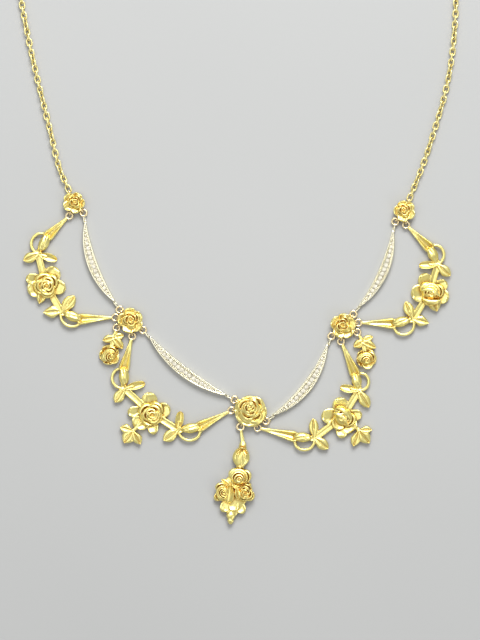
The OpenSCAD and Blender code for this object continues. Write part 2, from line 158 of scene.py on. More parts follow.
# deep is the colour of painted shade in the channel and other recesses; recess sets its reach
whiteLook = {
    "light": (0.97, 0.94, 0.77, 1), "warm": (0.98, 0.92, 0.66, 1), "deep": (0.56, 0.50, 0.34, 1),
    "blotch": 260.0, "recess": 0.0004, "grain": 2600.0, "depth": 0.00008, "roughGrain": 0.12,
}


# Platinum top of the bars, matt in the channel and polished on the rims, its tone blotched at random and
# darkened by painted shade in the recesses
def whiteMetal(name, rough, bumpiness):
    look = whiteLook
    finish = Finish(name)
    grain = finish.noise(look["grain"])
    skin = finish.mix(finish.noise(look["blotch"], detail=2.0), look["warm"], look["light"])
    # painted shade toward deep where ambient occlusion finds a recess
    colour = finish.mix(finish.paintedShadeMask(look["recess"]), look["deep"], skin)
    return finish.closeMetal(look, colour, grain, bumpiness, rough, grain)


stoneLook = {
    "light": (0.99, 0.95, 0.80, 1), "dark": (0.62, 0.57, 0.45, 1), "paintedFacetReflection": 2200.0, "contrast": 4,
    "threshold": 1.6, "rough": 0.04, "refraction": 2.2, "clear": 0.15,
}


# Cut stone whose colour is painted in cream and grey patches: painted reflections, bright where a facet
# would catch the light and dark where it would not
def clearStone(name):
    look = stoneLook
    finish = Finish(name)
    # painted reflection mask: noise pushed hard so that it splits into light and dark patches
    paintedFacetReflection = finish.noise(look["paintedFacetReflection"]) * look["contrast"] - look["threshold"]
    colour = finish.mix(paintedFacetReflection, look["light"], look["dark"])
    return finish.close({"Base Color": colour, "Roughness": look["rough"], "IOR": look["refraction"],
                         "Transmission Weight": look["clear"]})


floorLook = {"dark": (0.41, 0.415, 0.41, 1), "light": (0.44, 0.445, 0.44, 1), "cloud": 9.0, "rough": 0.9}


def paleFloor(name):
    look = floorLook
    finish = Finish(name)
    colour = finish.mix(finish.noise(look["cloud"], detail=2.0), look["dark"], look["light"])
    return finish.close({"Base Color": colour, "Roughness": look["rough"]})


looks = {
    "gold": castGold("bloomedGold"),
    "wire": wireGold("wireGold", light=(1.0, 0.89, 0.40, 1), rough=0.3),
    "ring": wireGold("ringGold", light=(0.97, 0.82, 0.50, 1), rough=0.18),
    "white": whiteMetal("whiteMetal", rough=0.2, bumpiness=1.0),
    "rim": whiteMetal("polishedRim", rough=0.12, bumpiness=0.15),
    "stone": clearStone("cutStone"),
    "floor": paleFloor("paleFloor"),
}
print("materials made")


# Modelling helpers

def clearSelection():
    if bpy.context.object and bpy.context.object.mode == "EDIT":
        bpy.ops.object.mode_set(mode="OBJECT")
    bpy.ops.object.select_all(action="DESELECT")


def editing(piece):
    clearSelection()
    bpy.context.view_layer.objects.active = piece
    piece.select_set(True)
    bpy.ops.object.mode_set(mode="EDIT")


def pickPoints(test):
    mesh = bmesh.from_edit_mesh(bpy.context.edit_object.data)
    bpy.ops.mesh.select_all(action="DESELECT")
    for point in mesh.verts:
        point.select_set(bool(test(point.co)))
    mesh.select_flush(True)
    bmesh.update_edit_mesh(bpy.context.edit_object.data)


def pickFaces(test):
    mesh = bmesh.from_edit_mesh(bpy.context.edit_object.data)
    bpy.ops.mesh.select_all(action="DESELECT")
    for face in mesh.faces:
        face.select_set(bool(test(face.normal)))
    bmesh.update_edit_mesh(bpy.context.edit_object.data)


# A new primitive, with its place put into its mesh
def added(operator, **settings):
    clearSelection()
    operator(**settings)
    piece = bpy.context.object
    piece.data.transform(piece.matrix_world)
    piece.matrix_world = Matrix.Identity(4)
    return piece


def facesOutward():
    bpy.ops.mesh.select_all(action="SELECT")
    bpy.ops.mesh.normals_make_consistent(inside=False)
    clearSelection()


def finished(piece, look, *modifiers):
    clearSelection()
    bpy.context.view_layer.objects.active = piece
    piece.select_set(True)
    for kind, settings in modifiers:
        made = piece.modifiers.new(kind.title(), kind)
        for key, value in settings.items():
            setattr(made, key, value)
        bpy.ops.object.modifier_apply(modifier=made.name)
    piece.data.materials.clear()
    piece.data.materials.append(look)
    bpy.ops.object.shade_smooth()
    return piece


# A copy with its own mesh, placed by a matrix
def stamp(template, place):
    piece = template.copy()
    piece.data = template.data.copy()
    bpy.context.scene.collection.objects.link(piece)
    piece.data.transform(place)
    return piece


def fuse(parts, name):
    clearSelection()
    for part in parts:
        part.select_set(True)
    bpy.context.view_layer.objects.active = parts[0]
    if len(parts) > 1:
        bpy.ops.object.join()
    whole = bpy.context.object
    whole.name = name
    whole.data.name = name
    return whole


castLook = {"voxel": 0.085, "smooth": 0.5, "passes": 2, "keep": 0.6}


# Runs the parts together into one cast skin, thins it, and adds the wire rings to it
def cast(parts, rings, name, voxel=castLook["voxel"]):
    skin = finished(fuse(parts, name), looks["gold"],
                    ("REMESH", {"mode": "VOXEL", "voxel_size": voxel}),
                    ("SMOOTH", {"factor": castLook["smooth"], "iterations": castLook["passes"]}),
                    ("DECIMATE", {"ratio": castLook["keep"]}))
    return fuse([skin] + rings, name)


# Moves a finished piece from drawing millimetres into the frame, and hands it to the body
def settle(piece, slot, *nodes):
    scale = layout["metres"]
    piece.data.transform(Matrix.Scale(scale, 4) @ Matrix.Translation(layout["shift"]))
    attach(piece, body)
    if nodes:
        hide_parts(*nodes)


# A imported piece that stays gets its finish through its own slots
def dress(nodeName, look):
    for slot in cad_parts[nodeName].material_slots:
        slot.material = look


def facing(start, end):
    return math.atan2(end[1] - start[1], end[0] - start[0])


def along(start, end, share):
    return (start[0] + (end[0] - start[0]) * share, start[1] + (end[1] - start[1]) * share)


def distance(start, end):
    return math.hypot(end[0] - start[0], end[1] - start[1])


def polar(centre, radius, degrees):
    angle = math.radians(degrees)
    return (centre[0] + radius * math.cos(angle), centre[1] + radius * math.sin(angle))


def placed(point, height, turn, size):
    return (Matrix.Translation((point[0], point[1], height)) @ Matrix.Rotation(turn, 4, "Z")
            @ Matrix.Diagonal((size[0], size[1], size[2], 1)))


# Smooth rows between given ones, number by number
def smoothRows(rows, steps):
    ends = [[2 * a - b for a, b in zip(rows[0], rows[1])], [2 * a - b for a, b in zip(rows[-1], rows[-2])]]
    knots = [ends[0]] + [list(row) for row in rows] + [ends[1]]
    smooth = []
    for index in range(1, len(knots) - 2):
        for step in range(steps):
            t = step / steps
            smooth.append([0.5 * (2 * b + (c - a) * t + (2 * a - 5 * b + 4 * c - d) * t * t
                                  + (3 * b - a - 3 * c + d) * t ** 3)
                           for a, b, c, d in zip(*knots[index - 1:index + 3])])
    smooth.append(list(rows[-1]))
    return smooth


# Grid whose points are laid by a function of the share along and the share across
def layGrid(alongCount, acrossCount, lay):
    sheet = added(bpy.ops.mesh.primitive_grid_add, x_subdivisions=alongCount, y_subdivisions=acrossCount,
                  size=2)
    for point in sheet.data.vertices:
        point.co = lay((point.co.x + 1) / 2, (point.co.y + 1) / 2)
    return sheet


limbLook = {"crown": 0.6, "grooveWide": 0.72, "weld": 0.0005}


# Closed body swept through rows of x, y, height, half width, rise, drop and groove
def drawLimb(rows, steps=4, sides=16):
    smooth = smoothRows(rows, steps)
    last = len(smooth) - 1

    def lay(share, around):
        index = round(share * last)
        x, y, height, wide, rise, drop, groove = smooth[index]
        before = smooth[max(index - 1, 0)]
        after = smooth[min(index + 1, last)]
        turn = facing(before, after)
        angle = 2 * math.pi * around
        across = math.cos(angle)
        if math.sin(angle) >= 0:
            hollow = groove * max(0, 1 - (across / limbLook["grooveWide"]) ** 2)
            lift = rise * math.sin(angle) ** limbLook["crown"] - hollow
        else:
            lift = drop * math.sin(angle)
        return (x - wide * across * math.sin(turn), y + wide * across * math.cos(turn), height + lift)

    limb = layGrid(last, sides, lay)
    editing(limb)
    bpy.ops.mesh.select_all(action="SELECT")
    bpy.ops.mesh.remove_doubles(threshold=limbLook["weld"])
    bpy.ops.mesh.select_all(action="DESELECT")
    bpy.ops.mesh.select_non_manifold()
    bpy.ops.mesh.fill_holes(sides=0)
    facesOutward()
    return finished(limb, looks["gold"])


def addRing(point, height, radius, wire, look, upright=None):
    ring = added(bpy.ops.mesh.primitive_torus_add, major_radius=radius, minor_radius=wire, major_segments=28,
                 minor_segments=12)
    if upright is not None:
        ring.data.transform(Matrix.Rotation(upright, 4, "Z") @ Matrix.Rotation(math.pi / 2, 4, "X"))
    ring.data.transform(Matrix.Translation((point[0], point[1], height)))
    return finished(ring, look)


# Points of the round arc through three points
def arcThrough(start, middle, end, count):
    ax, ay, bx, by, cx, cy = *start, *middle, *end
    twice = 2 * (ax * (by - cy) + bx * (cy - ay) + cx * (ay - by))
    a2, b2, c2 = ax * ax + ay * ay, bx * bx + by * by, cx * cx + cy * cy
    centre = ((a2 * (by - cy) + b2 * (cy - ay) + c2 * (ay - by)) / twice,
              (a2 * (cx - bx) + b2 * (ax - cx) + c2 * (bx - ax)) / twice)
    first = math.degrees(facing(centre, start))
    sweep = (math.degrees(facing(centre, end)) - first) % 360
    if (math.degrees(facing(centre, middle)) - first) % 360 > sweep:
        sweep -= 360
    return [polar(centre, distance(centre, start), first + sweep * k / (count - 1)) for k in range(count)]


# Roses. Each ring of petals: count, spread in degrees, root and lip radius, root and lip height,
# curl of the lip, turn, and how far the sides are cut back
roseLook = {
    "rose": [
        (4, 60, 0.40, 1.00, 0.32, 0.58, 0.22, 0, 0.34), (3, 76, 0.28, 0.77, 0.54, 0.78, 0.18, 35, 0.28),
        (3, 72, 0.16, 0.52, 0.70, 0.94, 0.14, 85, 0.24), (2, 108, 0.06, 0.28, 0.80, 1.02, 0.08, 15, 0.2),
    ],
    "cabbage": [
        (5, 50, 0.50, 1.00, 0.24, 0.48, 0.20, 0, 0.3), (4, 60, 0.40, 0.81, 0.40, 0.66, 0.18, 34, 0.28),
        (3, 78, 0.28, 0.61, 0.56, 0.82, 0.15, 5, 0.26), (3, 74, 0.17, 0.41, 0.72, 0.95, 0.12, 60, 0.24),
        (2, 110, 0.06, 0.21, 0.82, 1.02, 0.06, 10, 0.2),
    ],
    "small": [
        (4, 54, 0.30, 1.00, 0.30, 0.60, 0.22, 0, 0.42), (3, 66, 0.16, 0.68, 0.52, 0.86, 0.18, 36, 0.42),
        (3, 60, 0.05, 0.36, 0.78, 1.00, 0.12, 100, 0.34),
    ],
    "fan": [
        (3, 54, 0.50, 1.00, 0.24, 0.50, 0.20, 20, 0.3), (1, 112, 0.42, 0.80, 0.42, 0.69, 0.16, 80, 0.2),
        (1, 108, 0.30, 0.61, 0.58, 0.83, 0.14, 102, 0.2), (1, 115, 0.18, 0.41, 0.72, 0.94, 0.10, 78, 0.2),
        (2, 110, 0.07, 0.22, 0.82, 1.00, 0.05, 40, 0.2),
    ],
    "thickness": 0.09, "across": 14, "deep": 10, "swirl": 0.15, "peak": 0.82, "curlPower": 1.6,
    "vary": 0.08, "varyHeight": 0.6, "varyTurn": 2, "seed": 11,
    "waves": 4.0, "waveShift": 3, "wavy": 0.045, "wavyEdge": 0.03,
    "cutPower": 2.6, "rootSpread": 0.84, "lipSpread": 0.16, "sideDrop": 0.12,
    "dome": 0.7, "domeTall": 1.18, "domeFlat": 0.05,
    "heartRoot": 0.14, "heartTip": 0.06, "heartTall": 0.5, "heartHeight": 0.76,
}
variety = random.Random(roseLook["seed"])


# A petal: a bowl from its root out to a lip that curls over, and its one side lies outside the next petal
def modelPetal(shape, turn):
    spread, root, lip, low, high, curl, notch = shape
    look = roseLook
    peak = look["peak"]
    lip *= 1 + variety.uniform(-1, 1) * look["vary"]
    high += variety.uniform(-1, 1) * look["vary"] * look["varyHeight"]
    turn += variety.uniform(-1, 1) * look["vary"] * look["varyTurn"]

    def lay(side, reach):
        u = 2 * side - 1
        wave = math.sin(look["waves"] * u + look["waveShift"] * turn)
        trim = 1 - notch * abs(u) ** look["cutPower"] + look["wavyEdge"] * wave
        radius = root + (lip * trim * (1 + look["swirl"] * u) - root) * reach
        angle = turn + math.radians(u * spread * (look["rootSpread"] + look["lipSpread"] * reach))
        rise = low + (high - low) * min(1, reach / peak) ** 2
        over = curl * max(0, (reach - peak) / (1 - peak)) ** look["curlPower"]
        rise -= over + look["sideDrop"] * abs(u) ** 4 * reach
        rise += look["wavy"] * wave * reach
        return (radius * math.cos(angle), radius * math.sin(angle), rise)

    petal = layGrid(look["across"], look["deep"], lay)
    return finished(petal, looks["gold"], ("SOLIDIFY", {"thickness": look["thickness"], "offset": 0}))


# Petals ring by ring, over a dome, round a small heart
def modelRose(kind):
    look = roseLook
    parts = []
    for count, *shape, offset, notch in look[kind]:
        for index in range(count):
            parts.append(modelPetal((*shape, notch), math.radians(offset + 360 * index / count)))
    dome = added(bpy.ops.mesh.primitive_uv_sphere_add, segments=32, ring_count=16, radius=look["dome"])
    editing(dome)
    pickPoints(lambda co: co.z < 0)
    bpy.ops.transform.resize(value=(1, 1, look["domeFlat"]), center_override=(0, 0, 0))
    pickPoints(lambda co: co.z > 0.001)
    bpy.ops.transform.resize(value=(1, 1, look["domeTall"]), center_override=(0, 0, 0))
    clearSelection()
    parts.append(finished(dome, looks["gold"]))
    heart = added(bpy.ops.mesh.primitive_cone_add, vertices=12, radius1=look["heartRoot"],
                  radius2=look["heartTip"], depth=look["heartTall"], location=(0, 0, look["heartHeight"]))
    parts.append(finished(heart, looks["gold"], ("SUBSURF", {"levels": 2, "render_levels": 2})))
    return fuse(parts, kind + "Template")


# Leaves and petals run from (0, 0) to (1, 0), one wide and one high. Rows: share along, width
leafLook = {
    "oval": [(0, 0.22), (0.15, 0.5), (0.3, 0.78), (0.5, 1), (0.66, 0.98), (0.82, 0.74), (0.93, 0.42),
             (1, 0.06)],
    "kite": [(0, 0.2), (0.2, 0.36), (0.4, 0.72), (0.56, 1), (0.68, 0.96), (0.82, 0.68), (0.93, 0.36),
             (1, 0.05)],
    "diamond": [(0, 0.25), (0.18, 0.55), (0.42, 0.98), (0.55, 1), (0.75, 0.7), (0.9, 0.36), (1, 0.06)],
    "round": [(0, 0.7), (0.25, 0.9), (0.45, 1), (0.65, 0.97), (0.8, 0.82), (0.9, 0.6), (0.96, 0.38),
              (1, 0.12)],
    "point": [(0, 0.5), (0.25, 0.8), (0.45, 1), (0.62, 0.97), (0.8, 0.7), (0.92, 0.36), (1, 0.06)],
    "folded": [(0, 0.3), (0.2, 0.66), (0.4, 0.95), (0.6, 1), (0.8, 0.88), (0.93, 0.6), (1, 0.2)],
    "across": 14, "least": 0.03, "wall": 0.2, "under": 0.95, "archPower": 0.8,
}
troughShape = {"low": 0.42, "edge": 0.5, "fold": 0.15, "power": 1.6, "arch": 0.1}
bowlShape = {
    "low": 0.36, "rim": 0.48, "side": 0.32, "sidePower": 2.5, "lipFrom": 0.86, "lipWide": 0.14, "curl": 0.42,
    "curlPower": 1.6, "edgeFrom": 0.8, "edgeWide": 0.2, "edgeDrop": 0.3, "waves": 5, "wavy": 0.05,
}
leafShape = {"low": 0.52, "half": 0.27, "power": 0.9, "arch": 0.2}


def bowlHeight(place, v):
    shape = bowlShape
    rim = min(1, max(place / shape["lipFrom"], 0)) ** 2 * shape["rim"]
    rim += shape["side"] * abs(v) ** shape["sidePower"]
    curl = shape["curl"] * max(0, (place - shape["lipFrom"]) / shape["lipWide"]) ** shape["curlPower"]
    edge = shape["edgeDrop"] * max(0, (abs(v) - shape["edgeFrom"]) / shape["edgeWide"])
    return shape["low"] + rim - curl - edge + shape["wavy"] * math.cos(shape["waves"] * v + 1) * place


def modelLeaf(kind):
    look = leafLook
    rows = smoothRows(look[kind], 3)

    def lay(share, across):
        place, width = rows[round(share * (len(rows) - 1))]
        v = 2 * across - 1
        arch = math.sin(math.pi * min(1, max(0, place)) ** look["archPower"])
        if kind == "folded":        # a trough with both edges turned up
            shape = troughShape
            edge = abs(v + shape["fold"]) ** shape["power"]
            lift = shape["low"] + shape["edge"] * edge + shape["arch"] * arch
        elif kind == "round":       # a bowl whose lip curls down
            lift = bowlHeight(place, v)
        else:                       # halves arched up from a sunk midrib
            shape = leafShape
            half = math.sin(math.pi * abs(v)) ** shape["power"]
            lift = shape["low"] + shape["half"] * half + shape["arch"] * arch
        return (place, 0.5 * max(width, look["least"]) * v, lift)

    leaf = layGrid(len(rows) - 1, look["across"], lay)
    editing(leaf)       # walls down to a flat underside
    bpy.ops.mesh.select_all(action="SELECT")
    bpy.ops.mesh.extrude_region_move(TRANSFORM_OT_translate={"value": (0, 0, -look["wall"])})
    bpy.ops.transform.resize(value=(look["under"], look["under"], 0), center_override=(0.5, 0, 0))
    facesOutward()
    leaf.name = kind + "Template"
    return finished(leaf, looks["gold"])


# The taper's rows: from where along, factors, and about which place
budLook = {
    "taper": [(0.3, (1, 0.86, 0.92), 0.6), (0.7, (1, 0.6, 0.7), 0.9)], "face": 0.1,
    "slant": 0.35, "crease": 0.13, "creaseDeep": 0.2, "sepal": (0.14, 0.42), "sepalTall": 0.1,
}


# Bud from (-1, 0) to (1, 0), with a slanting crease between two sepals
def modelBud():
    look = budLook
    bud = added(bpy.ops.mesh.primitive_uv_sphere_add, segments=28, ring_count=18, radius=1,
                rotation=(0, math.pi / 2, 0))
    bud.name = "budTemplate"
    editing(bud)
    for start, factors, middle in look["taper"]:
        pickPoints(lambda co: co.x > start)
        bpy.ops.transform.resize(value=factors, center_override=(middle, 0, 0))
    pickPoints(lambda co: abs(co.y - look["slant"] * co.x) < look["crease"] and co.z > look["face"])
    bpy.ops.transform.translate(value=(0, 0, -look["creaseDeep"]))
    near, far = look["sepal"]
    pickPoints(lambda co: near < co.y - look["slant"] * co.x < far and co.z > look["face"])
    bpy.ops.transform.translate(value=(0, 0, look["sepalTall"]))
    clearSelection()
    return finished(bud, looks["gold"], ("SUBSURF", {"levels": 1, "render_levels": 1}))


templates = {}
for kind in ("rose", "cabbage", "small", "fan"):
    templates[kind] = modelRose(kind)
for kind in ("oval", "kite", "diamond", "round", "point", "folded"):
    templates[kind] = modelLeaf(kind)
templates["bud"] = modelBud()
print("templates modelled")


# Leaf or petal from one point to another
def addLeaf(kind, start, tip, width, base, tall):
    size = (distance(start, tip), width, tall)
    return stamp(templates[kind], placed(start, base, facing(start, tip), size))


# Rose whose heart may lean away from its middle
def addRose(kind, point, base, turn, radius, tall, lean=(0, 0)):
    tilt = Matrix.Identity(4)
    tilt[0][2], tilt[1][2] = lean
    upright = placed((0, 0), 0, math.radians(turn), (radius, radius, tall))
    return stamp(templates[kind], Matrix.Translation((point[0], point[1], base)) @ tilt @ upright)


ringLook = {"loop": 0.6, "loopWire": 0.2, "inset": 0.05, "eye": 0.8, "eyeWire": 0.24, "barWire": 0.26}

# Heart: how far below the middle, its share of the radius, and its lean. Petals: degrees, reach, width
rosettes = {
    "centre": {"at": (0, 0), "radius": 4.0, "turn": 20, "loops": (146, 180, 239, 293, 326),
               "kind": "cabbage", "heart": (0.4, 0.86, -0.08, 0.6), "node": "centre_rose",
               "petals": [(104, 3.8, 4.2), (40, 4.0, 4.6), (-16, 4.2, 4.6), (-74, 4.1, 5.2),
                          (-132, 4.1, 4.8), (166, 4.0, 4.8)]},
    "left": {"at": (-29.9, 22.4), "radius": 3.15, "turn": 5, "loops": (135, 168, 206, 276, 323),
             "kind": "small", "heart": (0.1, 0.72, 0.05, 0.2), "node": "left_rose",
             "petals": [(95, 3.3, 3.3), (28, 3.2, 3.2), (-40, 3.3, 3.4), (-105, 3.2, 3.2), (172, 3.3, 3.3)]},
    "right": {"at": (23.2, 21.1), "radius": 3.15, "turn": 50, "loops": (49, 12, -24, 262, 221),
              "kind": "small", "heart": (0.1, 0.72, -0.1, 0.2), "node": "right_rose",
              "petals": [(85, 3.2, 3.4), (15, 3.2, 3.3), (-58, 3.3, 3.3), (-122, 3.2, 3.2),
                         (156, 3.3, 3.4)]},
    "topLeft": {"at": (-44, 51.9), "radius": 2.75, "turn": 30, "loops": (113, 250, 313),
                "kind": "small", "heart": (0, 0.68, 0.15, 0.1), "node": "top_left_rose",
                "petals": [(60, 2.7, 2.7), (-8, 2.8, 2.6), (-75, 2.8, 2.8), (-150, 2.9, 2.7),
                           (140, 2.9, 2.8)]},
    "topRight": {"at": (38.5, 49.8), "radius": 2.75, "turn": 10, "loops": (68, 277, 229),
                 "kind": "small", "heart": (0, 0.68, -0.15, 0.1), "node": "top_right_rose",
                 "petals": [(110, 2.7, 2.8), (40, 2.8, 2.7), (-30, 2.8, 2.7), (-105, 2.8, 2.8),
                            (178, 2.8, 2.7)]},
}


def eyeAt(name, degrees):
    rosette = rosettes[name]
    return polar(rosette["at"], rosette["radius"] - ringLook["inset"] + ringLook["eye"], degrees)


# The stalk's numbers: half width, rise, drop, groove
rosetteLook = {
    "tall": 2.2, "tallFixed": 0.4, "tallGrown": 0.6, "petalRoot": 0.15, "petalDrop": 0.15, "petalStep": 0.1,
    "petalTall": 1.2, "cup": 0.6, "cupDeep": 1.6, "bevel": 0.15, "stalkRoot": 0.5,
    "stalk": (0.22, 0.26, 0.26, 0),
}


def makeRosette(name, rosette):
    look = rosetteLook
    centre = rosette["at"]
    radius = rosette["radius"]
    tall = look["tall"] * (look["tallFixed"] + look["tallGrown"] * radius / rosettes["centre"]["radius"])
    base = layout["petalHeight"]
    height = layout["ringHeight"]
    low, share, *lean = rosette["heart"]
    parts = [addRose(rosette["kind"], (centre[0], centre[1] - low), base, rosette["turn"], share * radius,
                     tall, lean)]
    for index, (degrees, reach, width) in enumerate(rosette["petals"]):
        parts.append(addLeaf("round", polar(centre, look["petalRoot"] * radius, degrees),
                             polar(centre, reach, degrees), width,
                             base - look["petalDrop"] + look["petalStep"] * (index % 2), look["petalTall"]))
    cup = added(bpy.ops.mesh.primitive_cylinder_add, vertices=32, radius=look["cup"] * radius,
                depth=look["cupDeep"], location=(*centre, look["cupDeep"] / 2))
    parts.append(finished(cup, looks["gold"], ("BEVEL", {"width": look["bevel"], "segments": 2})))
    rings = []
    for degrees in rosette["loops"]:
        hole = polar(centre, radius - ringLook["inset"], degrees)
        root = polar(centre, look["stalkRoot"] * radius, degrees)
        near = polar(centre, radius - ringLook["inset"] - ringLook["loop"], degrees)
        rings.append(addRing(hole, height, ringLook["loop"], ringLook["loopWire"], looks["ring"],
                             math.radians(degrees)))
        parts.append(drawLimb([(*root, height, *look["stalk"]), (*near, height, *look["stalk"])], 1, 12))
    settle(cast(parts, rings, name + "Rose"), "yellow_gold", rosette["node"])


for name, rosette in rosettes.items():
    makeRosette(name, rosette)
print("rosettes made")


# Garlands. Petals: degrees, reach, width, kind. Arms: rosette, loop angle, sheath mouth, tendril bulge,
# node, and two leaves by their tip, width and kind
garlands = {
    "outerLeft": {
        "node": "outer_left_garland", "rose": (-51.2, 31.6), "kind": "rose", "turn": 10,
        "lean": (0.16, -0.28),
        "petals": [(160, 5.1, 3.2, "round"), (54, 5.0, 4.3, "round"), (-15, 5.3, 3.8, "round"),
                   (207, 4.8, 4.2, "round"), (253, 5.2, 2.6, "point")],
        "arms": [
            ("topLeft", 250, (-50.7, 43.4), (-54.7, 41.5), (-52.9, 39.1),
             [((-56.7, 37.4), 2.6, "oval"), ((-48.2, 37.5), 2.0, "folded")]),
            ("left", 168, (-42.6, 22.8), (-45.0, 21.0), (-47.2, 24.7),
             [((-43.8, 28.6), 3.0, "oval"), ((-51.7, 24.5), 3.0, "diamond")]),
        ],
    },
    "innerLeft": {
        "node": "inner_left_garland", "rose": (-24.9, -0.7), "kind": "rose", "turn": 130,
        "lean": (0.2, -0.2),
        "petals": [(95, 5.3, 4.1, "round"), (176, 5.8, 3.2, "round"), (14, 5.1, 4.0, "round"),
                   (-81, 5.4, 2.9, "round"), (219, 5.3, 4.6, "round")],
        "arms": [
            ("left", 276, (-31.6, 10.3), (-34.5, 8.2), (-31.4, 5.5),
             [((-26.2, 6.8), 2.0, "folded"), ((-33.8, 2.0), 2.7, "oval")]),
            ("centre", 180, (-12.9, -4.2), (-15.2, -7.5), (-18, -4.8),
             [((-17.4, -0.2), 2.1, "folded"), ((-21.7, -7.5), 2.9, "oval")]),
        ],
        "trefoil": ((-29.3, -5.1), [((-32.5, -4.2), 2.5), ((-31.6, -8.1), 3.1), ((-27.4, -8.5), 2.4)]),
    },
    "innerRight": {
        "node": "inner_right_garland", "rose": (23.1, -1.7), "kind": "fan", "turn": -40,
        "lean": (-0.1, -0.15),
        "petals": [(101, 5.1, 4.1, "round"), (176, 5.4, 4.0, "round"), (9, 4.9, 3.0, "round"),
                   (266, 5.3, 3.1, "round"), (-56, 4.4, 4.6, "round")],
        "lips": [[(20.7, -0.7), (21.9, -1.0), (23.3, -2.1), (24.3, -3.5)],
                 [(21.5, 0.6), (22.9, 0.2), (24.1, -0.9), (24.9, -2.2)]],
        "arms": [
            ("right", 262, (26.3, 8.9), (29.6, 7.1), (27, 5),
             [((22.4, 5.8), 2.0, "folded"), ((29.7, 0.7), 2.7, "oval")]),
            ("centre", 293, (11.2, -6.6), (13.3, -9.9), (16, -6.8),
             [((15.7, -2.0), 2.4, "oval"), ((19.5, -9.6), 2.7, "oval")]),
        ],
        "trefoil": ((27.1, -4.9), [((30.4, -4.8), 2.1), ((29.8, -8.2), 2.9), ((25.7, -9.0), 2.5)]),
    },
    "outerRight": {
        "node": "outer_right_garland", "rose": (44.9, 29.6), "kind": "fan", "turn": -12,
        "lean": (0.15, -0.25),
        "petals": [(113, 5.0, 3.7, "round"), (29, 4.9, 3.3, "round"), (187, 4.8, 4.4, "round"),
                   (-21, 5.0, 4.0, "round"), (-70, 5.2, 3.2, "point")],
        "lips": [[(42.6, 29.9), (44.1, 30.2), (45.9, 29.6), (47.4, 28.3)],
                 [(43.0, 27.9), (44.6, 27.2), (46.3, 27.1), (47.7, 27.6)]],
        "arms": [
            ("topRight", 277, (44.9, 40.5), (48.4, 38.8), (46.7, 36.5),
             [((42.1, 36.2), 2.0, "folded"), ((50.0, 33.6), 2.5, "oval")]),
            ("right", 12, (35.8, 21.7), (38.4, 18.9), (40.6, 22.9),
             [((38.7, 27.2), 2.5, "oval"), ((44.6, 21.8), 2.7, "diamond")]),
        ],
    },
}

# Sheath from its thin end to its mouth: share, half width, rise, groove. Stem: height, half width, rise,
# drop, groove
armLook = {
    "sheath": [(0, 0.4, 0.36, 0), (0.15, 0.5, 0.42, 0.05), (0.35, 0.68, 0.58, 0.3),
               (0.55, 0.92, 0.78, 0.6), (0.75, 1.2, 0.98, 0.9), (0.92, 1.4, 1.05, 1.05),
               (1.02, 1.25, 0.9, 0.9), (1.1, 0.8, 0.6, 0.5)],
    "seat": 0.05, "sheathDrop": 0.7, "dropMost": 0.9,
    "budAt": 0.42, "budHeight": 1.0, "budLong": 0.53, "budWide": 1.28, "budTall": 1.0,
    "tendril": 0.37, "tendrilShares": [0.5, 0.9, 1, 1, 1, 1, 1, 1, 0.6], "tendrilEdge": 1.15,
    "tendrilBack": 1.8, "tendrilIn": 0.35, "tendrilRoot": 1.1, "tendrilHeight": 0.95, "tendrilEnd": 1.15,
    "tendrilReach": 0.45,
    "stemFrom": 0.7, "stemRoot": (0.85, 0.45, 0.45, 0.5, 0.1), "stem": (0.85, 0.92, 0.6, 0.6, 0.35),
    "leafBase": 0.4, "leafTall": 1.15,
}


# The tendril leaves the sheath's edge, rounds the bud and crosses the stem into the far leaf
def makeTendril(eye, mouth, bulge, node, leaves):
    look = armLook
    turn = facing(eye, mouth)
    side = 1 if (bulge[0] - mouth[0]) * -math.sin(turn) + (bulge[1] - mouth[1]) * math.cos(turn) > 0 else -1
    out = side * look["tendrilEdge"]
    inward = side * look["tendrilIn"]
    edge = (mouth[0] - out * math.sin(turn), mouth[1] + out * math.cos(turn))
    back = (edge[0] - look["tendrilBack"] * math.cos(turn) + inward * math.sin(turn),
            edge[1] - look["tendrilBack"] * math.sin(turn) - inward * math.cos(turn))
    loop = arcThrough(edge, bulge, node, 7)
    far = max(leaves, key=lambda leaf: distance(leaf[0], bulge))[0]
    path = [(*back, look["tendrilRoot"])] + [(*point, look["tendrilHeight"]) for point in loop]
    path.append((*along(node, far, look["tendrilReach"]), look["tendrilEnd"]))
    rows = []
    for point, share in zip(path, look["tendrilShares"]):
        thick = look["tendril"] * share
        rows.append((*point, thick, thick, thick, 0))
    return drawLimb(rows, 4, 12)


def makeArm(arm, rose):
    rosette, degrees, mouth, bulge, node, leaves = arm
    look = armLook
    eye = eyeAt(rosette, degrees)
    height = layout["ringHeight"]
    ring = addRing(eye, height, ringLook["eye"], ringLook["eyeWire"], looks["ring"])
    neck = along(eye, mouth, (ringLook["eye"] + look["seat"]) / distance(eye, mouth))
    sheath = []
    for share, wide, rise, groove in look["sheath"]:
        drop = look["sheathDrop"] * min(wide, look["dropMost"])
        sheath.append((*along(neck, mouth, share), height, wide, rise, drop, groove))
    parts = [drawLimb(sheath)]
    budSize = (look["budLong"] * distance(mouth, node), look["budWide"], look["budTall"])
    parts.append(stamp(templates["bud"], placed(along(mouth, node, look["budAt"]), look["budHeight"],
                                                facing(mouth, node), budSize)))
    parts.append(makeTendril(eye, mouth, bulge, node, leaves))
    stem = [(*point, *look["stem"]) for point in (node, along(node, rose, 0.5), rose)]
    parts.append(drawLimb([(*along(mouth, node, look["stemFrom"]), *look["stemRoot"])] + stem))
    for tip, width, kind in leaves:
        parts.append(addLeaf(kind, node, tip, width, look["leafBase"], look["leafTall"]))
    return parts, [ring]


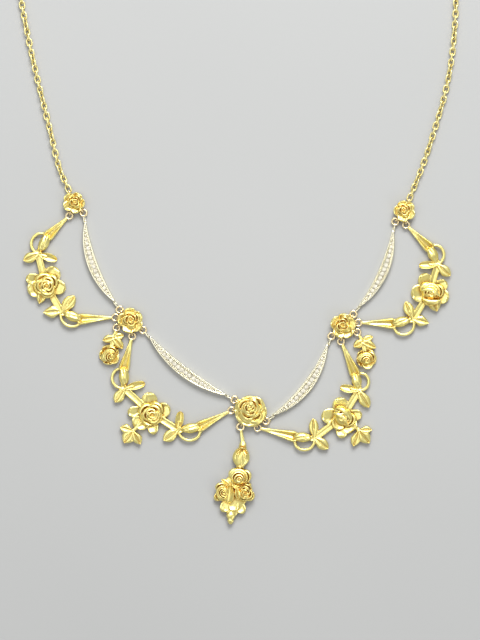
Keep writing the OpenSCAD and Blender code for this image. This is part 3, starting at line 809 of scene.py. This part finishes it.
# Stalk rows: height, half width, rise, drop, groove
garlandLook = {
    "petalRoot": 0.6, "petalBase": 0.25, "petalTall": 1.3, "roseBase": 0.8, "roseRadius": 3.1,
    "roseTall": 2.2, "lipWide": [0.15, 0.6, 0.65, 0.15], "lipTall": [0.4, 0.9, 0.9, 0.4], "lipShare": 0.95,
    "lipDrop": 0.6, "lipHeight": 2.2, "trefoilRoot": -0.1, "trefoilBase": 0.3, "trefoilTall": 1.25,
    "trefoilStalk": (0.8, 0.5, 0.5, 0.5, 0), "roseStalk": (0.9, 0.6, 0.5, 0.5, 0),
}


def makeGarland(name, garland):
    look = garlandLook
    rose = garland["rose"]
    parts = []
    rings = []
    for arm in garland["arms"]:
        armParts, armRings = makeArm(arm, rose)
        parts += armParts
        rings += armRings
    for degrees, reach, width, kind in garland["petals"]:
        root = polar(rose, look["petalRoot"], degrees)
        parts.append(addLeaf(kind, root, polar(rose, reach, degrees), width, look["petalBase"],
                             look["petalTall"]))
    parts.append(addRose(garland["kind"], rose, look["roseBase"], garland["turn"], look["roseRadius"],
                         look["roseTall"], garland["lean"]))
    for lip in garland.get("lips", []):
        parts.append(drawLimb([(*point, look["lipHeight"], wide, look["lipShare"] * tall, look["lipDrop"], 0)
                               for point, wide, tall in zip(lip, look["lipWide"], look["lipTall"])]))
    if "trefoil" in garland:
        middle, tips = garland["trefoil"]
        for tip, width in tips:
            parts.append(addLeaf("kite", along(middle, tip, look["trefoilRoot"]), tip, width,
                                 look["trefoilBase"], look["trefoilTall"]))
        parts.append(drawLimb([(*middle, *look["trefoilStalk"]), (*rose, *look["roseStalk"])], 2, 12))
    settle(cast(parts, rings, name + "Garland"), "yellow_gold", garland["node"])


for name, garland in garlands.items():
    makeGarland(name, garland)
print("garlands made")


# Small drops beside the side roses. Leaves: tip, width
drops = {
    "leftDrop": {"hang": ("left", 206), "fork": (-34.1, 18.2), "rose": (-35.2, 13.9), "petalTurn": 0,
                 "turn": 45, "lean": (0.25, -0.35),
                 "leaves": [((-36.9, 17.5), 2.0), ((-31.6, 18.8), 1.9), ((-31.8, 15.4), 2.1)],
                 "node": "left_drop"},
    "rightDrop": {"hang": ("right", -24), "fork": (28, 17.2), "rose": (29, 13), "petalTurn": 22,
                  "turn": 10, "lean": (0, -0.35),
                  "leaves": [((30.6, 18.5), 1.9), ((25.8, 15.9), 2.1), ((31.4, 15.6), 2.0)],
                  "node": "right_drop"},
}

# Stem rows: height, half width, rise, drop, groove
dropLook = {
    "neck": (0.8, 0.28, 0.28, 0.28, 0), "fork": (0.8, 0.55, 0.5, 0.5, 0.15),
    "foot": (0.85, 0.6, 0.55, 0.6, 0.15), "footAt": 0.6, "leafRoot": -0.2, "leafBase": 0.3,
    "leafTall": 1.15, "petals": 5, "petalShift": 41, "petalRoot": 0.3, "petalReach": 2.6, "petalWide": 2.9,
    "petalBase": 0.05, "petalTall": 1.2, "roseBase": 0.5, "roseRadius": 2.3, "roseTall": 1.9, "voxel": 0.07,
}


def makeDrop(name, drop):
    look = dropLook
    eye = eyeAt(*drop["hang"])
    fork = drop["fork"]
    rose = drop["rose"]
    rings = [addRing(eye, layout["ringHeight"], ringLook["eye"], ringLook["eyeWire"], looks["ring"])]
    neck = along(eye, fork, ringLook["eye"] / distance(eye, fork))
    parts = [drawLimb([(*neck, *look["neck"]), (*fork, *look["fork"]),
                       (*along(fork, rose, look["footAt"]), *look["foot"])])]
    for tip, width in drop["leaves"]:
        parts.append(addLeaf("oval", along(fork, tip, look["leafRoot"]), tip, width, look["leafBase"],
                             look["leafTall"]))
    for index in range(look["petals"]):
        degrees = drop["petalTurn"] + look["petalShift"] + 360 / look["petals"] * index
        parts.append(addLeaf("round", polar(rose, look["petalRoot"], degrees),
                             polar(rose, look["petalReach"], degrees), look["petalWide"],
                             look["petalBase"], look["petalTall"]))
    parts.append(addRose("fan", rose, look["roseBase"], drop["turn"], look["roseRadius"], look["roseTall"],
                         drop["lean"]))
    settle(cast(parts, rings, name, look["voxel"]), "yellow_gold", drop["node"])


for name, drop in drops.items():
    makeDrop(name, drop)
print("drops made")


# Pendant: a ringed stem, a veined bud under a cap, an arched rose, two small roses, and leaves to a tip.
# Stem: share, half width. Bulb, back and tip: x, y, half width, rise. Collars: middle, radius. Roses:
# kind, middle, radius, turn, lean. Leaves: root, tip, width, kind, height of the underside
pendant = {
    "node": "centre_pendant", "hang": ("centre", 239), "cap": (-1.8, -8.2),
    "stem": [(0, 0.3), (0.25, 0.4), (0.8, 0.48), (1, 0.55)],
    "bulb": [(-1.83, -8.0, 0.75, 0.5), (-1.88, -8.9, 0.95, 0.7), (-1.95, -9.4, 1.0, 0.75),
             (-2.1, -10.3, 1.75, 1.0), (-2.3, -11.8, 2.15, 1.2), (-2.45, -13.0, 1.75, 1.05),
             (-2.55, -13.9, 1.0, 0.85), (-2.6, -14.4, 0.95, 0.85)],
    "veins": [[(-1.95, -9.6), (-3.2, -11.2), (-3.2, -13.0)], [(-1.98, -9.6), (-2.2, -11.6), (-2.4, -13.8)],
              [(-2.0, -9.6), (-1.2, -11.2), (-1.7, -13.1)]],
    "crown": (-1.95, -9.2), "sepals": [(-3.5, -11.0), (-0.9, -11.0)],
    "collars": [((-1.88, -8.75), 0.75), ((-1.93, -9.35), 0.85), ((-2.58, -14.1), 0.8)],
    "roses": [("fan", (-2.9, -16.6), 2.95, -10, (0.05, -0.3)),
              ("fan", (-6.8, -20.1), 2.35, 100, (0.15, -0.2)),
              ("rose", (-1.2, -20.7), 2.25, 50, (0, 0.1))],
    "leaves": [((-4.9, -18.6), (-5.6, -23.2), 2.4, "folded", 1.5),
               ((-3.45, -19.05), (-3.05, -22.2), 1.7, "oval", 1.5),
               ((-4.9, -21.8), (-7.1, -25.3), 2.7, "round", 0.5),
               ((-3.9, -22.0), (-1.6, -25.7), 2.7, "round", 0.5),
               ((-4.1, -21.6), (-4.2, -25.4), 2.7, "round", 0.75),
               ((-6.0, -19.6), (-8.9, -22.4), 2.4, "round", 0.4),
               ((-4.4, -19.8), (-7.2, -17.1), 2.0, "point", 0.5),
               ((-2.6, -20.0), (0.2, -18.3), 2.2, "round", 0.4),
               ((-2.0, -20.9), (0.9, -21.9), 2.2, "round", 0.4)],
    "back": [(-2.6, -14.4, 0.95, 0.5), (-2.9, -16.6, 2.3, 0.5), (-3.6, -19.0, 3.3, 0.5),
             (-4.0, -21.2, 3.7, 0.5), (-4.3, -23.3, 2.7, 0.5), (-4.6, -25.2, 1.7, 0.5),
             (-4.9, -26.6, 0.9, 0.5)],
    "tip": [(-4.8, -25.2, 0.6, 0.6), (-4.85, -26.2, 1.15, 0.9), (-4.9, -27.1, 0.72, 0.75),
            (-4.92, -27.6, 0.8, 0.8), (-5.0, -28.4, 0.3, 0.35)],
}

# Vein rows: height, half width, rise, drop, groove
pendantLook = {
    "ringMore": 0.05, "stemLift": 0.2, "stemRise": 0.4, "stemGroove": 0.1, "body": 1.0, "dropMost": 0.9,
    "vein": [(1.55, 0.13, 0.2, 0.2, 0), (2.05, 0.22, 0.26, 0.3, 0), (1.75, 0.13, 0.2, 0.2, 0)],
    "sepalWide": 0.9, "sepalBase": 1.3, "sepalTall": 1.0, "collarHeight": 1.15, "collarWire": 0.2,
    "collarTurn": -5, "roseBase": 0.9, "roseTall": 2.1, "leafTall": 1.2, "voxel": 0.075,
}


def makePendant():
    look = pendantLook
    eye = eyeAt(*pendant["hang"])
    cap = pendant["cap"]
    height = layout["ringHeight"]
    rings = [addRing(eye, height, ringLook["eye"] + look["ringMore"], ringLook["eyeWire"] + look["ringMore"],
                     looks["ring"])]
    neck = along(eye, cap, ringLook["eye"] / distance(eye, cap))
    rise = look["stemRise"]
    parts = [drawLimb([(*along(neck, cap, share), height + look["stemLift"] * share, wide, rise, rise,
                        look["stemGroove"] * share) for share, wide in pendant["stem"]])]
    for key in ("bulb", "back", "tip"):
        rows = [(x, y, look["body"], wide, tall, min(tall, look["dropMost"]), 0)
                for x, y, wide, tall in pendant[key]]
        parts.append(drawLimb(rows, 4, 24))
    for vein in pendant["veins"]:
        parts.append(drawLimb([(*point, *row) for point, row in zip(vein, look["vein"])], 5, 10))
    for tip in pendant["sepals"]:
        parts.append(addLeaf("folded", pendant["crown"], tip, look["sepalWide"], look["sepalBase"],
                             look["sepalTall"]))
    for point, radius in pendant["collars"]:
        parts.append(addRing(point, look["collarHeight"], radius, look["collarWire"], looks["gold"],
                             math.radians(look["collarTurn"])))
    for kind, point, radius, turn, lean in pendant["roses"]:
        parts.append(addRose(kind, point, look["roseBase"], turn, radius, look["roseTall"], lean))
    for root, tip, width, kind, base in pendant["leaves"]:
        parts.append(addLeaf(kind, root, tip, width, base, look["leafTall"]))
    settle(cast(parts, rings, "centrePendant", look["voxel"]), "yellow_gold", pendant["node"])


makePendant()
print("pendant made")


# Bars: the solid crescents stay, and get a raised polished line along each rim and a graduated row of stones
barLook = {
    "outerRise": 3.25, "innerRise": 0.7, "rim": 0.4, "tipGap": 1.3, "top": 1.2, "bed": 0.85,
    "line": 0.22, "lineInset": 0.2, "lineEnd": 0.9, "linePoints": 8,
    "stones": [0.6, 1.8, 3.0, 4.2, 5.4, 6.5, 7.5, 8.4, 9.2, 9.9], "stoneMost": 1.15, "stoneLeast": 0.3,
    "grainPitch": 0.42, "grainHeight": 1.16, "grainRadius": 0.23, "grainEnd": 1.4, "grainInset": 0.1,
}
bars = {
    "upperLeft": {"ends": (("topLeft", 313), ("left", 135)), "side": -1, "bow": 0.4,
                  "nodes": ("upper_left_bar", "upper_left_stones")},
    "lowerLeft": {"ends": (("left", 323), ("centre", 146)), "side": -1, "bow": 0.1,
                  "nodes": ("lower_left_bar", "lower_left_stones")},
    "lowerRight": {"ends": (("right", 221), ("centre", 326)), "side": 1, "bow": 0.85,
                   "nodes": ("lower_right_bar", "lower_right_stones")},
    "upperRight": {"ends": (("topRight", 229), ("right", 49)), "side": 1, "bow": 0.45,
                   "nodes": ("upper_right_bar", "upper_right_stones")},
}


def arcHeight(chord, rise, x, inset=0.0):
    radius = (chord * chord / 4 + rise * rise) / (2 * rise)
    return radius - rise - math.sqrt((radius + inset) ** 2 - x * x)


stoneCut = {
    "sides": 8, "radius": 0.5, "girdle": 0.05, "girdleAt": 0.25, "crown": 0.1, "crownShare": 0.82,
    "table": 0.11, "tableShare": 0.66, "pavilion": 0.22, "culet": 0.3,
}


# Cut stone on z = 0: pavilion, girdle, crown turned by half a side, and table
def modelStone():
    cut = stoneCut
    stone = added(bpy.ops.mesh.primitive_cylinder_add, vertices=cut["sides"], radius=cut["radius"],
                  depth=cut["girdle"], location=(0, 0, cut["girdleAt"]))
    editing(stone)
    pickFaces(lambda normal: normal.z > 0.9)
    bpy.ops.mesh.extrude_region_move(TRANSFORM_OT_translate={"value": (0, 0, cut["crown"])})
    bpy.ops.transform.resize(value=(cut["crownShare"], cut["crownShare"], 1), center_override=(0, 0, 0))
    bpy.ops.transform.rotate(value=math.pi / cut["sides"], orient_axis="Z", center_override=(0, 0, 0))
    bpy.ops.mesh.extrude_region_move(TRANSFORM_OT_translate={"value": (0, 0, cut["table"])})
    bpy.ops.transform.resize(value=(cut["tableShare"], cut["tableShare"], 1), center_override=(0, 0, 0))
    pickFaces(lambda normal: normal.z < -0.9)
    bpy.ops.mesh.extrude_region_move(TRANSFORM_OT_translate={"value": (0, 0, -cut["pavilion"])})
    bpy.ops.transform.resize(value=(cut["culet"], cut["culet"], 1), center_override=(0, 0, 0))
    clearSelection()
    stone.data.materials.append(looks["stone"])
    return stone


def modelGrain():       # bead of metal that holds the stones
    grain = added(bpy.ops.mesh.primitive_uv_sphere_add, segments=8, ring_count=5,
                  radius=barLook["grainRadius"])
    return finished(grain, looks["rim"])


templates["stone"] = modelStone()
templates["grain"] = modelGrain()


def makeBar(name, bar):
    look = barLook
    start = eyeAt(*bar["ends"][0])
    end = eyeAt(*bar["ends"][1])
    chord = distance(start, end) - 2 * look["tipGap"]
    side = bar["side"]
    place = placed(along(start, end, 0.5), 0, facing(start, end), (1, 1, 1))
    barNode, stoneNode = bar["nodes"]
    outer = look["outerRise"] + bar["bow"]
    inner = look["innerRise"] + bar["bow"]

    def middle(x):
        return (arcHeight(chord, outer, x) + arcHeight(chord, inner, x)) / 2

    def room(x):
        return arcHeight(chord, inner, x) - arcHeight(chord, outer, x)

    lines = []
    for rise, inset in ((outer, -look["lineInset"]), (inner, look["lineInset"])):
        reach = chord / 2 - look["lineEnd"]
        rows = []
        for k in range(-look["linePoints"], look["linePoints"] + 1):
            x = reach * k / look["linePoints"]
            point = place @ Vector((x, -side * arcHeight(chord, rise, x, inset), look["top"]))
            rows.append((*point, look["line"], look["line"], look["line"], 0))
        lines.append(drawLimb(rows, 3, 10))
    for line in lines:
        line.data.materials[0] = looks["rim"]
    settle(fuse(lines, name + "Rims"), "white_metal")
    stones = []
    for x in [sign * x for x in look["stones"] for sign in (-1, 1)]:
        wide = min(look["stoneMost"], room(x) - 2 * look["rim"])
        if wide < look["stoneLeast"]:
            continue
        spot = Matrix.Translation((x, -side * middle(x), look["bed"])) @ Matrix.Diagonal((wide, wide, 1, 1))
        stones.append(stamp(templates["stone"], place @ spot))
    grains = []
    count = round(2 * (chord / 2 - look["grainEnd"]) / look["grainPitch"])
    for k in range(count + 1):
        x = (k - count / 2) * look["grainPitch"]
        rail = max(room(x) / 2 - look["rim"] - look["grainInset"], 0)
        for offset in (-rail, rail):
            spot = Matrix.Translation((x, -side * middle(x) + offset, look["grainHeight"]))
            grains.append(stamp(templates["grain"], place @ spot))
    settle(fuse(stones, name + "Stones"), "cut_stone", stoneNode)
    settle(fuse(grains, name + "Grains"), "white_metal")
    rings = [addRing(eye, layout["ringHeight"], ringLook["eye"], ringLook["barWire"], looks["ring"])
             for eye in (start, end)]
    settle(fuse(rings, name + "Rings"), "yellow_gold")
    dress(barNode, looks["white"])


for name, bar in bars.items():
    makeBar(name, bar)
for nodeName in ("chain_left", "chain_right", "clasp"):
    dress(nodeName, looks["wire"])
for template in templates.values():
    bpy.data.objects.remove(template)
print("bars and chain finished")


# Floor, light and camera, in metres. Lamps: name, place, size, power
studio = {
    "middle": (0.0007, -0.0413, 0), "cameraHeight": 0.9, "frameHeight": 0.16, "sensor": 36.0,
    "clipStart": 0.01, "floor": 3, "world": (0.46, 0.46, 0.46, 1),
    "lamps": [
        ("keyLamp", (0.08, 0.42, 0.50), 0.36, 5.2), ("topLamp", (-0.25, -0.05, 0.6), 0.4, 0.9),
        ("lowLamp", (0.3, -0.35, 0.3), 0.2, 0.3),
    ],
}


def makeStudio():
    floor = added(bpy.ops.mesh.primitive_plane_add, size=studio["floor"])
    floor.name = "floor"
    floor.data.materials.append(looks["floor"])
    world = bpy.data.worlds.new("studioWorld")
    world.use_nodes = True
    world.node_tree.nodes["Background"].inputs[0].default_value = studio["world"]
    bpy.context.scene.world = world
    middle = Vector(studio["middle"])
    for name, place, size, power in studio["lamps"]:
        lamp = bpy.data.lights.new(name, "AREA")
        lamp.size = size
        lamp.energy = power
        holder = bpy.data.objects.new(name, lamp)
        holder.location = place
        holder.rotation_euler = (middle - Vector(place)).to_track_quat("-Z", "Y").to_euler()
        bpy.context.scene.collection.objects.link(holder)
    lens = bpy.data.cameras.new("camera")
    lens.sensor_fit = "VERTICAL"
    lens.sensor_height = studio["sensor"]
    lens.lens = studio["sensor"] * studio["cameraHeight"] / studio["frameHeight"]
    lens.clip_start = studio["clipStart"]
    camera = bpy.data.objects.new("camera", lens)
    camera.location = middle + Vector((0, 0, studio["cameraHeight"]))
    bpy.context.scene.collection.objects.link(camera)
    bpy.context.scene.camera = camera
    bpy.context.scene.view_settings.view_transform = "Standard"


makeStudio()
print("studio set")
